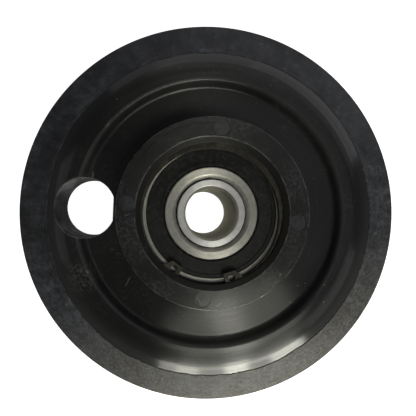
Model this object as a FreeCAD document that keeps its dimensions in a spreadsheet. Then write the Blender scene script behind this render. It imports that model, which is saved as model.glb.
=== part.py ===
import FreeCAD, Part
import math
import os

import Sketcher

# Snowmobile idler wheel, lying on its back with its axle along +Z and its front face up.
# The origin is on the axle's line, at the height of the rear edge of the rim.

BALL_COUNT = 9
EJECTOR_MARK_COUNT = 4

# Driving sizes in millimetres, and angles in degrees.
SIZES = {
    # Tyre
    "tyre_diameter": 162.0,
    "tyre_thickness": 14.8,
    "tread_front_height": 14.4,
    "tread_rear_height": 2.4,
    "tread_front_round": 3.0,
    "tread_rear_round": 2.0,
    "tyre_rear_setback": 0.3,
    # Wheel body: rim, step and web
    "rim_bevel_width": 6.7,
    "rim_face_width": 6.7,
    "rim_edge_round": 16.0,
    "rim_lip_width": 1.6,
    "rim_lip_draft_width": 0.3,
    "web_front_height": 22.5,
    "web_thickness": 14.2,
    "step_height": 3.3,
    "step_draft_width": 1.9,
    "step_edge_round": 1.6,
    "step_base_round": 1.8,
    # Wheel body: hub
    "hub_wall": 9.2,
    "hub_draft_width": 1.4,
    "hub_edge_round": 0.6,
    "hub_base_round": 1.2,
    "hub_rear_wall": 7.0,
    "hub_rear_draft_width": 0.6,
    "hub_rear_step": 2.8,
    "hub_rear_round": 1.0,
    "lead_in_width": 2.0,
    "lead_in_height": 0.75,
    "groove_land": 0.6,
    "shoulder_overlap": 3.0,
    "access_hole_hub_gap": 3.3,
    "access_hole_tyre_gap": 4.5,
    "access_hole_flat_depth": 1.0,
    "access_hole_angle": 177.5,
    "ejector_mark_diameter": 6.0,
    "ejector_mark_gap": 0.1,
    "ejector_mark_depth": 0.2,
    "ejector_mark_angle": -6.5,
    # Bearing
    "bearing_bore": 25.4,
    "bearing_outer_diameter": 52.0,
    "bearing_width": 15.0,
    "bearing_seat_height": 18.0,
    "inner_ring_chamfer": 1.8,
    "outer_ring_chamfer": 0.6,
    "ring_shoulder_chamfer": 0.3,
    "inner_shoulder_drop": 2.2,
    "outer_shoulder_rise": 2.65,
    "ball_diameter": 7.938,
    "ball_clearance": 0.05,
    "race_groove_radius": 4.128,
    "seal_wall": 1.7,
    "seal_recess": 0.3,
    "seal_bead_width": 1.5,
    "seal_bead_bevel": 0.35,
    "seal_lip_width": 1.6,
    "seal_lip_bevel": 0.8,
    "seal_relief": 0.35,
    "seal_lip_clearance": 0.1,
    "seal_cage_gap": 0.4,
    # Cage
    "cage_sheet": 0.8,
    "cage_band_width": 3.5,
    "cage_pocket_clearance": 0.15,
    "rivet_diameter": 1.5,
    "rivet_head_diameter": 2.4,
    "rivet_head_height": 0.5,
    # Snap ring
    "snap_ring_thickness": 2.0,
    "snap_ring_side_clearance": 0.15,
    "snap_ring_groove_depth": 1.5,
    "snap_ring_groove_clearance": 0.1,
    "snap_ring_thick_section": 3.5,
    "snap_ring_thin_section": 1.2,
    "snap_ring_thick_angle": 70.0,
    "snap_ring_angle": -98.65,
    "snap_ring_lug_angle": 25.75,
    "snap_ring_end_setback_angle": 3.0,
    "lug_hole_diameter": 2.5,
    "lug_hole_setback": 2.75,
    "lug_inner_wall": 2.3,
    "lug_gap_side": 2.6,
    "lug_ring_side": 2.0,
    "lug_neck": 2.8,
    "lug_edge": 0.15,
    # Axle sleeve
    "sleeve_length": 30.0,
    "sleeve_bore": 19.05,
    "sleeve_projection": 0.2,
    "sleeve_bore_chamfer": 0.8,
    "sleeve_edge_chamfer": 0.4,
}

# Sizes that follow from the driving ones. Each may use those above it.
DERIVED = {
    "tyre_radius": "tyre_diameter / 2",
    "bond_radius": "tyre_radius - tyre_thickness",
    "rim_front_height": "web_front_height + step_height",
    "rim_face_radius": "bond_radius - rim_bevel_width",
    "step_top_radius": "rim_face_radius - rim_face_width",
    "lip_radius": "bond_radius - rim_lip_width",
    "bevel_slope": "(rim_front_height - tread_front_height) / (tyre_radius - rim_face_radius)",
    "bond_front": "rim_front_height - rim_bevel_width * bevel_slope",
    "web_rear_height": "web_front_height - web_thickness",
    "step_base_radius": "step_top_radius - step_draft_width",
    "seat_radius": "bearing_outer_diameter / 2",
    "bearing_front": "bearing_seat_height + bearing_width",
    "bearing_middle": "bearing_seat_height + bearing_width / 2",
    "groove_radius": "seat_radius + snap_ring_groove_depth",
    "groove_front": "bearing_front + snap_ring_thickness + snap_ring_side_clearance",
    "land_front": "groove_front + groove_land",
    "hub_front": "land_front + lead_in_height",
    "hub_rear": "web_rear_height - hub_rear_step",
    "hub_radius": "seat_radius + hub_wall",
    "hub_base_radius": "hub_radius + hub_draft_width",
    "hub_rear_radius": "seat_radius + hub_rear_wall",
    "hub_rear_base_radius": "hub_rear_radius + hub_rear_draft_width",
    "lead_in_radius": "seat_radius + lead_in_width",
    "shoulder_radius": "seat_radius - shoulder_overlap",
    "ejector_mark_radius": "lead_in_radius + ejector_mark_gap + ejector_mark_diameter / 2",
    "access_hole_flat": "hub_radius + access_hole_hub_gap",
    "access_hole_outer_edge": "bond_radius - access_hole_tyre_gap",
    "access_hole_radius": "(access_hole_outer_edge - access_hole_flat + access_hole_flat_depth) / 2",
    "access_hole_centre": "access_hole_outer_edge - access_hole_radius",
    "bore_radius": "bearing_bore / 2",
    "pitch_radius": "(bearing_bore + bearing_outer_diameter) / 4",
    "ball_radius": "ball_diameter / 2",
    "inner_shoulder_radius": "pitch_radius - inner_shoulder_drop",
    "outer_shoulder_radius": "pitch_radius + outer_shoulder_rise",
    "inner_race_centre": "pitch_radius - ball_radius - ball_clearance + race_groove_radius",
    "outer_race_centre": "pitch_radius + ball_radius + ball_clearance - race_groove_radius",
    "pocket_radius": "ball_radius + cage_pocket_clearance",
    "dome_radius": "pocket_radius + cage_sheet",
    "seal_seat": "dome_radius + seal_cage_gap",
    "seal_radius": "seat_radius - seal_wall",
    "seal_lip_radius": "inner_shoulder_radius + seal_lip_clearance",
    "seal_front": "bearing_front - seal_recess",
    "seal_rear": "bearing_middle + seal_seat",
    "cage_inner_radius": "pitch_radius - cage_band_width / 2",
    "cage_outer_radius": "pitch_radius + cage_band_width / 2",
    "snap_ring_radius": "groove_radius - snap_ring_groove_clearance",
    "snap_ring_offset": "(snap_ring_thick_section - snap_ring_thin_section) / 2",
    "snap_ring_hole_radius": "snap_ring_radius - (snap_ring_thick_section + snap_ring_thin_section) / 2",
    "lug_hole_centre": "snap_ring_radius - lug_hole_setback",
    "lug_inner_edge": "lug_hole_centre - lug_inner_wall",
    "lug_neck_end": "lug_ring_side + lug_neck",
    "lug_outer_edge": "sqrt((snap_ring_radius - lug_edge)^2 - lug_neck_end^2)",
    "snap_ring_gap_angle": "snap_ring_lug_angle - snap_ring_end_setback_angle",
    "sleeve_front": "bearing_front + sleeve_projection",
    "sleeve_rear": "sleeve_front - sleeve_length",
    "sleeve_bore_radius": "sleeve_bore / 2",
}

doc = FreeCAD.newDocument("idler_wheel")


def make_sheet():
    """Write the driving sizes, then the ones that follow from them, into one spreadsheet."""
    cells = doc.addObject("Spreadsheet::Sheet", "sizes")
    entries = [(name, str(number)) for name, number in SIZES.items()]
    entries += [(name, "=" + formula) for name, formula in DERIVED.items()]
    for row, (name, content) in enumerate(entries, start=1):
        cells.set(f"A{row}", name)
        cells.set(f"B{row}", content)
        cells.setAlias(f"B{row}", name)
    doc.recompute()
    return cells


sheet = make_sheet()


def linked(formula):
    """Turn a formula in size names into one that reads them from the sheet."""
    words = formula.split(" ")
    return " ".join("sizes." + word if word in SIZES or word in DERIVED else word for word in words)


def value(formula):
    """Work out a formula in size names."""
    return float(sheet.evalExpression(linked(formula)))


def bind(item, target, formula):
    """Tie one property of an object to a formula in size names."""
    item.setExpression(target, linked(formula))


def make_body(name):
    """Start a body whose label names its file."""
    body = doc.addObject("PartDesign::Body", name)
    body.Label = name
    return body


def make_sketch(body, name, plane):
    """Put an empty sketch on one of the body's origin planes."""
    sketch = body.newObject("Sketcher::SketchObject", name)
    support = next(item for item in body.Origin.OriginFeatures if item.Role == plane)
    sketch.AttachmentSupport = (support, [""])
    sketch.MapMode = "FlatFace"
    return sketch


def raise_sketch(sketch, height, angle):
    """Lift a flat sketch to a height, and turn it about the axle's line."""
    upright = FreeCAD.Vector(0, 0, 1)
    sketch.AttachmentOffset = FreeCAD.Placement(upright, FreeCAD.Rotation(upright, value(angle)))
    bind(sketch, "AttachmentOffset.Base.z", height)
    bind(sketch, "AttachmentOffset.Rotation.Angle", angle)


def dimension(sketch, kind, where, formula):
    """Add one dimension to a sketch and tie it to its formula."""
    index = sketch.addConstraint(Sketcher.Constraint(kind, *where, value(formula)))
    bind(sketch, f"Constraints[{index}]", formula)


def draw_outline(sketch, corners):
    """Draw a closed straight-sided outline, each corner given as a radius and a height."""
    points = [FreeCAD.Vector(value(radius), value(height), 0) for radius, height in corners]
    count = len(corners)
    for index in range(count):
        sketch.addGeometry(Part.LineSegment(points[index], points[(index + 1) % count]), False)
    for index, (radius, height) in enumerate(corners):
        sketch.addConstraint(Sketcher.Constraint("Coincident", index, 2, (index + 1) % count, 1))
        dimension(sketch, "DistanceX", (-1, 1, index, 1), radius)
        if height == "0":
            sketch.addConstraint(Sketcher.Constraint("PointOnObject", index, 1, -1))
        else:
            dimension(sketch, "DistanceY", (-1, 1, index, 1), height)


def draw_circle(sketch, along, radius):
    """Draw a circle whose centre lies on the sketch's first axis, or at its origin."""
    centre = FreeCAD.Vector(value(along), 0, 0)
    circle = sketch.addGeometry(Part.Circle(centre, FreeCAD.Vector(0, 0, 1), value(radius)), False)
    if along == "0":
        sketch.addConstraint(Sketcher.Constraint("Coincident", circle, 3, -1, 1))
    else:
        sketch.addConstraint(Sketcher.Constraint("PointOnObject", circle, 3, -1))
        dimension(sketch, "DistanceX", (-1, 1, circle, 3), along)
    dimension(sketch, "Radius", (circle,), radius)
    return circle


def draw_flatted_circle(sketch, along, radius, flat):
    """Draw a circle centred on the sketch's first axis, cut by a straight side that crosses that axis."""
    centre = FreeCAD.Vector(value(along), 0, 0)
    turn = math.pi - math.acos((value(along) - value(flat)) / value(radius))
    circle = Part.Circle(centre, FreeCAD.Vector(0, 0, 1), value(radius))
    round_side = Part.ArcOfCircle(circle, -turn, turn)
    arc = sketch.addGeometry(round_side, False)
    line = sketch.addGeometry(Part.LineSegment(round_side.EndPoint, round_side.StartPoint), False)
    sketch.addConstraint(Sketcher.Constraint("Coincident", arc, 2, line, 1))
    sketch.addConstraint(Sketcher.Constraint("Coincident", line, 2, arc, 1))
    sketch.addConstraint(Sketcher.Constraint("PointOnObject", arc, 3, -1))
    sketch.addConstraint(Sketcher.Constraint("Vertical", line))
    dimension(sketch, "DistanceX", (-1, 1, arc, 3), along)
    dimension(sketch, "Radius", (arc,), radius)
    dimension(sketch, "DistanceX", (-1, 1, line, 1), flat)


def revolve(body, corners):
    """Turn an outline about the axle's line."""
    sketch = make_sketch(body, body.Name + "_profile", "XZ_Plane")
    draw_outline(sketch, corners)
    turned = body.newObject("PartDesign::Revolution", body.Name + "_turned")
    turned.Profile = sketch
    turned.ReferenceAxis = (sketch, ["V_Axis"])
    turned.Angle = 360
    doc.recompute()
    return turned


def cut_race(body, centre):
    """Turn the ball track into a bearing ring."""
    before = body.Shape.Volume
    sketch = make_sketch(body, body.Name + "_track", "XZ_Plane")
    circle = sketch.addGeometry(
        Part.Circle(FreeCAD.Vector(value(centre), value("bearing_middle"), 0),
                    FreeCAD.Vector(0, 0, 1), value("race_groove_radius")), False)
    dimension(sketch, "DistanceX", (-1, 1, circle, 3), centre)
    dimension(sketch, "DistanceY", (-1, 1, circle, 3), "bearing_middle")
    dimension(sketch, "Radius", (circle,), "race_groove_radius")
    groove = body.newObject("PartDesign::Groove", body.Name + "_groove")
    groove.Profile = sketch
    groove.ReferenceAxis = (sketch, ["V_Axis"])
    groove.Angle = 360
    doc.recompute()
    check_cut(body, before)


def pad(body, sketch, height):
    """Raise a flat sketch into a solid."""
    raised = body.newObject("PartDesign::Pad", sketch.Name + "_pad")
    raised.Profile = sketch
    bind(raised, "Length", height)
    doc.recompute()
    return raised


def pocket(body, sketch, depth):
    """Cut a flat sketch down into a solid."""
    before = body.Shape.Volume
    cut = body.newObject("PartDesign::Pocket", sketch.Name + "_cut")
    cut.Profile = sketch
    bind(cut, "Length", depth)
    doc.recompute()
    check_cut(body, before)
    return cut


def check_cut(body, before):
    """Stop if a cut took nothing away."""
    if not body.Shape.Volume < before:
        raise RuntimeError(f"a cut in {body.Label} removes nothing")


def round_rings(body, name, radius, rings):
    """Round the circular edges of the body, each found by its radius and height."""
    base = body.Tip
    wanted = [(value(ring_radius), value(height)) for ring_radius, height in rings]
    edges = []
    for number, edge in enumerate(base.Shape.Edges, start=1):
        curve = edge.Curve
        if not isinstance(curve, Part.Circle):
            continue
        for ring_radius, height in wanted:
            if abs(curve.Radius - ring_radius) < 1e-4 and abs(curve.Center.z - height) < 1e-4:
                edges.append(f"Edge{number}")
    if len(edges) < len(rings):
        raise RuntimeError(f"{name} found only {len(edges)} of its {len(rings)} edges")
    rounded = body.newObject("PartDesign::Fillet", name)
    rounded.Base = (base, edges)
    bind(rounded, "Radius", radius)
    doc.recompute()


def make_tyre():
    """Rubber tyre bonded to the rim: a front side that carries on the rim's bevel, and a flat tread."""
    body = make_body("tyre")
    revolve(body, [
        ("bond_radius", "tyre_rear_setback"),
        ("tyre_radius", "tread_rear_height"),
        ("tyre_radius", "tread_front_height"),
        ("bond_radius", "bond_front"),
    ])
    round_rings(body, "tread_front_rounds", "tread_front_round", [("tyre_radius", "tread_front_height")])
    round_rings(body, "tread_rear_rounds", "tread_rear_round", [("tyre_radius", "tread_rear_height")])
    return body


def make_wheel_body():
    """Moulded wheel: hub with bearing seat and snap ring groove, web, inward step and bevelled rim."""
    body = make_body("wheel_body")
    revolve(body, [
        ("seat_radius", "bearing_seat_height"),
        ("shoulder_radius", "bearing_seat_height"),
        ("shoulder_radius", "hub_rear"),
        ("hub_rear_radius", "hub_rear"),
        ("hub_rear_base_radius", "web_rear_height"),
        ("lip_radius - rim_lip_draft_width", "web_rear_height"),
        ("lip_radius", "0"),
        ("bond_radius", "0"),
        ("bond_radius", "bond_front"),
        ("rim_face_radius", "rim_front_height"),
        ("step_top_radius", "rim_front_height"),
        ("step_base_radius", "web_front_height"),
        ("hub_base_radius", "web_front_height"),
        ("hub_radius", "hub_front"),
        ("lead_in_radius", "hub_front"),
        ("seat_radius", "land_front"),
        ("seat_radius", "groove_front"),
        ("groove_radius", "groove_front"),
        ("groove_radius", "bearing_front"),
        ("seat_radius", "bearing_front"),
    ])
    round_rings(body, "rim_edge_rounds", "rim_edge_round", [("rim_face_radius", "rim_front_height")])
    round_rings(body, "step_edge_rounds", "step_edge_round", [("step_top_radius", "rim_front_height")])
    round_rings(body, "step_base_rounds", "step_base_round", [("step_base_radius", "web_front_height")])
    round_rings(body, "hub_base_rounds", "hub_base_round", [("hub_base_radius", "web_front_height")])
    round_rings(body, "hub_edge_rounds", "hub_edge_round", [("hub_radius", "hub_front")])
    round_rings(body, "hub_rear_rounds", "hub_rear_round", [
        ("hub_rear_radius", "hub_rear"),
        ("hub_rear_base_radius", "web_rear_height"),
    ])
    cut_access_hole(body)
    press_ejector_marks(body)
    return body


def cut_access_hole(body):
    """Tool hole through web and rim: round, with a flat beside the hub."""
    sketch = make_sketch(body, "access_hole", "XY_Plane")
    raise_sketch(sketch, "hub_front", "access_hole_angle")
    draw_flatted_circle(sketch, "access_hole_centre", "access_hole_radius", "access_hole_flat")
    pocket(body, sketch, "hub_front")


def press_ejector_marks(body):
    """Shallow round marks that the ejector pins leave on the hub's face."""
    sketch = make_sketch(body, "ejector_mark", "XY_Plane")
    raise_sketch(sketch, "hub_front", "ejector_mark_angle")
    draw_circle(sketch, "ejector_mark_radius", "ejector_mark_diameter / 2")
    mark = pocket(body, sketch, "ejector_mark_depth")
    marks = body.newObject("PartDesign::PolarPattern", "ejector_marks")
    marks.Originals = [mark]
    axle_line = next(item for item in body.Origin.OriginFeatures if item.Role == "Z_Axis")
    marks.Axis = (axle_line, [""])
    marks.Angle = 360
    marks.Occurrences = EJECTOR_MARK_COUNT
    body.Tip = marks
    doc.recompute()


def make_snap_ring():
    """Internal snap ring: an eccentric open ring with an eared lug at each end."""
    body = make_body("snap_ring")
    ring = make_sketch(body, "snap_ring_outline", "XY_Plane")
    raise_sketch(ring, "bearing_front", "snap_ring_thick_angle + 180")
    draw_circle(ring, "0", "snap_ring_radius")
    draw_circle(ring, "snap_ring_offset", "snap_ring_hole_radius")
    pad(body, ring, "snap_ring_thickness")

    gap = make_sketch(body, "snap_ring_gap", "XY_Plane")
    raise_sketch(gap, "bearing_front + snap_ring_thickness", "snap_ring_angle")
    draw_gap(gap)
    pocket(body, gap, "snap_ring_thickness")

    add_lug(body, "first", 1)
    add_lug(body, "second", -1)
    return body


def add_lug(body, name, side):
    """Flat lug at one end of the snap ring: square at the gap, necked down into the ring, with a round hole."""
    angle = f"snap_ring_angle + {side} * snap_ring_lug_angle"
    lug = make_sketch(body, name + "_lug", "XY_Plane")
    raise_sketch(lug, "bearing_front", angle)
    draw_outline(lug, [
        ("lug_inner_edge", f"{-side} * lug_gap_side"),
        ("lug_outer_edge", f"{-side} * lug_gap_side"),
        ("lug_outer_edge", f"{side} * lug_neck_end"),
        ("snap_ring_radius - snap_ring_thin_section", f"{side} * lug_neck_end"),
        ("lug_inner_edge", f"{side} * lug_ring_side"),
    ])
    pad(body, lug, "snap_ring_thickness")

    hole = make_sketch(body, name + "_lug_hole", "XY_Plane")
    raise_sketch(hole, "bearing_front + snap_ring_thickness", angle)
    draw_circle(hole, "lug_hole_centre", "lug_hole_diameter / 2")
    pocket(body, hole, "snap_ring_thickness")


def draw_gap(sketch):
    """Draw the wedge that opens the snap ring, from the axle's line out past the ring."""
    reach = "snap_ring_radius * 1.2"
    half_width = reach + " * tan( snap_ring_gap_angle * 1 deg )"
    tip = FreeCAD.Vector(0, 0, 0)
    upper = FreeCAD.Vector(value(reach), value(half_width), 0)
    lower = FreeCAD.Vector(value(reach), -value(half_width), 0)
    for start, end in ((tip, lower), (lower, upper), (upper, tip)):
        sketch.addGeometry(Part.LineSegment(start, end), False)
    for index in range(3):
        sketch.addConstraint(Sketcher.Constraint("Coincident", index, 2, (index + 1) % 3, 1))
    sketch.addConstraint(Sketcher.Constraint("Coincident", 0, 1, -1, 1))
    sketch.addConstraint(Sketcher.Constraint("Symmetric", 1, 1, 1, 2, -1))
    dimension(sketch, "DistanceX", (-1, 1, 1, 2), reach)
    dimension(sketch, "DistanceY", (-1, 1, 1, 2), half_width)


def make_outer_ring():
    """Outer ring of the bearing, with a seat for a seal at each side of its ball track."""
    body = make_body("bearing_outer_ring")
    edge = "seat_radius - outer_ring_chamfer"
    revolve(body, [
        ("seat_radius", "bearing_seat_height + outer_ring_chamfer"),
        ("seat_radius", "bearing_front - outer_ring_chamfer"),
        (edge, "bearing_front"),
        ("seal_radius", "bearing_front"),
        ("seal_radius", "bearing_middle + seal_seat"),
        ("outer_shoulder_radius", "bearing_middle + seal_seat"),
        ("outer_shoulder_radius", "bearing_middle - seal_seat"),
        ("seal_radius", "bearing_middle - seal_seat"),
        ("seal_radius", "bearing_seat_height"),
        (edge, "bearing_seat_height"),
    ])
    cut_race(body, "outer_race_centre")
    return body


def make_inner_ring():
    """Inner ring of the bearing, on the axle sleeve."""
    body = make_body("bearing_inner_ring")
    bore_edge = "bore_radius + inner_ring_chamfer"
    shoulder_edge = "inner_shoulder_radius - ring_shoulder_chamfer"
    revolve(body, [
        ("bore_radius", "bearing_seat_height + inner_ring_chamfer"),
        (bore_edge, "bearing_seat_height"),
        (shoulder_edge, "bearing_seat_height"),
        ("inner_shoulder_radius", "bearing_seat_height + ring_shoulder_chamfer"),
        ("inner_shoulder_radius", "bearing_front - ring_shoulder_chamfer"),
        (shoulder_edge, "bearing_front"),
        (bore_edge, "bearing_front"),
        ("bore_radius", "bearing_front - inner_ring_chamfer"),
    ])
    cut_race(body, "inner_race_centre")
    return body


def make_front_seal():
    """Rubber seal: a bead in the outer ring, a thinner web and a lip at the inner ring, both bevelled."""
    body = make_body("seal_front")
    bead_edge = "seal_radius - seal_bead_width"
    lip_edge = "seal_lip_radius + seal_lip_width"
    revolve(body, [
        ("seal_lip_radius", "seal_rear"),
        (lip_edge, "seal_rear"),
        (lip_edge, "seal_rear + seal_relief"),
        (bead_edge, "seal_rear + seal_relief"),
        (bead_edge, "seal_rear"),
        ("seal_radius", "seal_rear"),
        ("seal_radius", "seal_front - seal_bead_bevel"),
        ("seal_radius - seal_bead_bevel", "seal_front"),
        (bead_edge, "seal_front"),
        (bead_edge, "seal_front - seal_relief"),
        (lip_edge, "seal_front - seal_relief"),
        (lip_edge, "seal_front"),
        ("seal_lip_radius + seal_lip_bevel", "seal_front"),
        ("seal_lip_radius", "seal_front - seal_lip_bevel"),
    ])
    return body


def mirror_over_bearing(source, name):
    """Copy a front piece to the rear, over the bearing's middle plane."""
    copy = doc.addObject("Part::Mirroring", name)
    copy.Source = source
    copy.Normal = FreeCAD.Vector(0, 0, 1)
    bind(copy, "Base.z", "bearing_middle")
    copy.Label = name
    doc.recompute()
    return copy


def place_on_pitch(item, share, height):
    """Put an object on the circle of ball centres, a share of a turn round from +X."""
    bind(item, "Placement.Base.x", f"pitch_radius * cos( 360 deg * {share} )")
    bind(item, "Placement.Base.y", f"pitch_radius * sin( 360 deg * {share} )")
    bind(item, "Placement.Base.z", height)


def ball_share(number):
    """Share of a turn at which a ball stands."""
    return number / BALL_COUNT


def rivet_share(number):
    """Share of a turn at which a rivet stands, between two balls."""
    return (number + 0.5) / BALL_COUNT


def make_sphere(name, radius, share):
    """Sphere on the circle of ball centres."""
    sphere = doc.addObject("Part::Sphere", name)
    bind(sphere, "Radius", radius)
    place_on_pitch(sphere, share, "bearing_middle")
    return sphere


def make_cylinder(name, radius, height, base):
    """Upright cylinder on the axle's line."""
    cylinder = doc.addObject("Part::Cylinder", name)
    bind(cylinder, "Radius", radius)
    bind(cylinder, "Height", height)
    bind(cylinder, "Placement.Base.z", base)
    return cylinder


def make_cut(name, base, tool):
    """Take one object away from another."""
    cut = doc.addObject("Part::Cut", name)
    cut.Base = base
    cut.Tool = tool
    return cut


def make_fuse(name, pieces):
    """Join several objects into one."""
    joined = doc.addObject("Part::MultiFuse", name)
    joined.Shapes = pieces
    return joined


def make_balls():
    """Bearing balls, evenly spaced on the pitch circle."""
    balls = []
    for number in range(BALL_COUNT):
        ball = make_sphere(f"ball_{number + 1}", "ball_radius", ball_share(number))
        ball.Label = ball.Name
        balls.append(ball)
    return balls


def make_band(name, height):
    """Tube as wide as the cage, standing on the bearing's middle plane."""
    outside = make_cylinder(name + "_outside", "cage_outer_radius", height, "bearing_middle")
    inside = make_cylinder(name + "_inside", "cage_inner_radius", height, "bearing_middle")
    return make_cut(name, outside, inside)


def make_front_cage():
    """Pressed half of the ball cage: flat lands between domes, with a hole for each rivet."""
    lands = make_band("cage_lands", "cage_sheet")
    reach = make_band("cage_reach", "dome_radius")
    shells = [make_sphere(f"cage_dome_{number + 1}", "dome_radius", ball_share(number))
              for number in range(BALL_COUNT)]
    domes = doc.addObject("Part::MultiCommon", "cage_domes")
    domes.Shapes = [reach, make_fuse("cage_dome_shells", shells)]
    sheet_metal = make_fuse("cage_sheet_metal", [lands, domes])

    cutters = [make_sphere(f"cage_pocket_{number + 1}", "pocket_radius", ball_share(number))
               for number in range(BALL_COUNT)]
    for number in range(BALL_COUNT):
        hole = make_cylinder(f"rivet_hole_{number + 1}", "rivet_diameter / 2", "cage_sheet",
                             "bearing_middle")
        place_on_pitch(hole, rivet_share(number), "bearing_middle")
        cutters.append(hole)
    cage = make_cut("cage_front", sheet_metal, make_fuse("cage_cutters", cutters))
    cage.Label = "cage_front"
    doc.recompute()
    return cage


def make_rivet(number):
    """One rivet through both cage halves, with a head at each end."""
    share = rivet_share(number)
    name = f"rivet_{number + 1}"
    foot = "bearing_middle - cage_sheet - rivet_head_height"
    shank = make_cylinder(name + "_shank", "rivet_diameter / 2", "cage_sheet * 2", foot)
    place_on_pitch(shank, share, "bearing_middle - cage_sheet")
    lower = make_cylinder(name + "_lower", "rivet_head_diameter / 2", "rivet_head_height", foot)
    place_on_pitch(lower, share, foot)
    upper = make_cylinder(name + "_upper", "rivet_head_diameter / 2", "rivet_head_height", foot)
    place_on_pitch(upper, share, "bearing_middle + cage_sheet")
    return make_fuse(name, [shank, lower, upper])


def make_rivets():
    """All cage rivets as one group of solids."""
    rivets = doc.addObject("Part::Compound", "cage_rivets")
    rivets.Links = [make_rivet(number) for number in range(BALL_COUNT)]
    rivets.Label = "cage_rivets"
    doc.recompute()
    return rivets


def make_sleeve():
    """Axle sleeve through the bearing, with its bore and edges chamfered."""
    body = make_body("axle_sleeve")
    bore_edge = "sleeve_bore_radius + sleeve_bore_chamfer"
    outer_edge = "bore_radius - sleeve_edge_chamfer"
    revolve(body, [
        ("sleeve_bore_radius", "sleeve_rear + sleeve_bore_chamfer"),
        (bore_edge, "sleeve_rear"),
        (outer_edge, "sleeve_rear"),
        ("bore_radius", "sleeve_rear + sleeve_edge_chamfer"),
        ("bore_radius", "sleeve_front - sleeve_edge_chamfer"),
        (outer_edge, "sleeve_front"),
        (bore_edge, "sleeve_front"),
        ("sleeve_bore_radius", "sleeve_front - sleeve_bore_chamfer"),
    ])
    return body


def check(nodes):
    """Stop if any object failed, or if a sub-part's shape is empty or invalid."""
    for item in doc.Objects:
        if "Invalid" in item.State or "Error" in item.State:
            raise RuntimeError(f"{item.Label} failed: {item.State}")
    for node in nodes:
        if node.Shape.isNull() or not node.Shape.isValid() or not node.Shape.Solids:
            raise RuntimeError(f"{node.Label} has no valid solid")


def export(nodes):
    """Write each sub-part to a file with its own name."""
    os.makedirs("parts", exist_ok=True)
    for node in nodes:
        node.Shape.exportStep(f"parts/{node.Label}.step")
        print(f"{node.Label}: {len(node.Shape.Solids)} solid, {node.Shape.Volume:.1f} mm3")


front_seal = make_front_seal()
front_cage = make_front_cage()
subparts = [
    make_tyre(),
    make_wheel_body(),
    make_snap_ring(),
    make_outer_ring(),
    make_inner_ring(),
    *make_balls(),
    front_cage,
    mirror_over_bearing(front_cage, "cage_rear"),
    make_rivets(),
    front_seal,
    mirror_over_bearing(front_seal, "seal_rear"),
    make_sleeve(),
]
doc.recompute()
check(subparts)
export(subparts)
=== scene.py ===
import math

import bpy
import numpy as np
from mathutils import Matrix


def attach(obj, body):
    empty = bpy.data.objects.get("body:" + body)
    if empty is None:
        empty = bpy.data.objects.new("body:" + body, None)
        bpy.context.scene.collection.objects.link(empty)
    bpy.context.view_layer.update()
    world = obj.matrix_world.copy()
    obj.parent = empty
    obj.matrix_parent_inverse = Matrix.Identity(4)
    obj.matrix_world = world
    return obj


bl_info = {
    "name": "Idler Wheel Looks",
    "version": (1, 0, 0),
    "blender": (4, 5, 0),
    "location": "View3D > Sidebar > Idler Wheel",
    "description": "Finishes, small mould details and stage of a track idler wheel",
    "category": "Object",
}

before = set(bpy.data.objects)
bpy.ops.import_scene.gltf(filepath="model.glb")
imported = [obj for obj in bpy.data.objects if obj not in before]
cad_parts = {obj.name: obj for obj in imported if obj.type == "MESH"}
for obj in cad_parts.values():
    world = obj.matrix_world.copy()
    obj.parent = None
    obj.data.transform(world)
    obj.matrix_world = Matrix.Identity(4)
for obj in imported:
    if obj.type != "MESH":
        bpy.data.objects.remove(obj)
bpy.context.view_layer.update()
TURN = 2 * math.pi
UP = (0, 0, 1)
TOWARDS_Y = (0, 1, 0)
WHITE = (1, 1, 1, 1)

# Where one finish gives way to another: heights, and reaches along a direction, in metres
FRONT_HEIGHTS = (0.018, 0.019)
HUB_HEIGHTS = (0.028, 0.034)
# Painted shade at the sleeve bore's mouth: heights, and reach towards +Y
BORE_SHADE_HEIGHTS = (0.022, 0.030)
BORE_SHADE_SIDE = (-0.001, 0.007)
# Lamp side of the rubber, towards -Y, made paler by road dust and painted light
DUST_AND_LIGHT_SIDE = (0.26, -0.966, 0)
DUST_AND_LIGHT_REACH = (0.024, 0.076)
HUB_EDGE_DEPTHS = (0.0010, 0.0005)
HUB_EDGE_HALF_WIDTH = 0.0003
STEP_EDGE_HALF_WIDTH = 0.0011
# Painted shade in the joint between the sleeve and the inner ring: half width and fade
JOINT_HALF_WIDTH = 0.0004
JOINT_FADE = 0.0005

# Rubber flash: points round the wheel, lap onto the tyre, least reach, and its edge's waves, each with a height,
# a seed, how many waves, and the count round the wheel of the first one
FLASH_STEPS = 1440
FLASH_LAP = 0.0012
FLASH_LEAST_REACH = -0.0001
FLASH_WAVES = ((0.0005, 3, 60, 4), (0.00025, 5, 240, 40))

# Single scratches and chips on the front: from one place to another, and how wide
SCRATCHES = (
    ((-0.0336, -0.0299), (-0.0312, -0.0255), 0.00025),
    ((-0.0058, -0.0296), (-0.0037, -0.0337), 0.00025),
    ((0.0009, -0.0337), (0.0036, -0.0321), 0.00025),
    ((-0.0320, -0.0010), (-0.0296, -0.0001), 0.00025),
    ((-0.0488, 0.0140), (-0.0462, 0.0146), 0.0004),
    ((-0.0468, 0.0138), (-0.0464, 0.0172), 0.0006),
    ((-0.0485, -0.0228), (-0.0475, -0.0238), 0.0007),
)

# Floor and the walls round it
FLOOR_HALF = 3.0
FLOOR_CORNERS = ((-FLOOR_HALF, -FLOOR_HALF), (FLOOR_HALF, -FLOOR_HALF), (FLOOR_HALF, FLOOR_HALF),
                 (-FLOOR_HALF, FLOOR_HALF))
FLOOR_HEIGHT = -0.0002
WALL_HEIGHT = 6.0

# Camera: width of its sensor in millimetres, and the nearest that it sees
SENSOR_WIDTH = 36
NEAREST = 0.01

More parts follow.
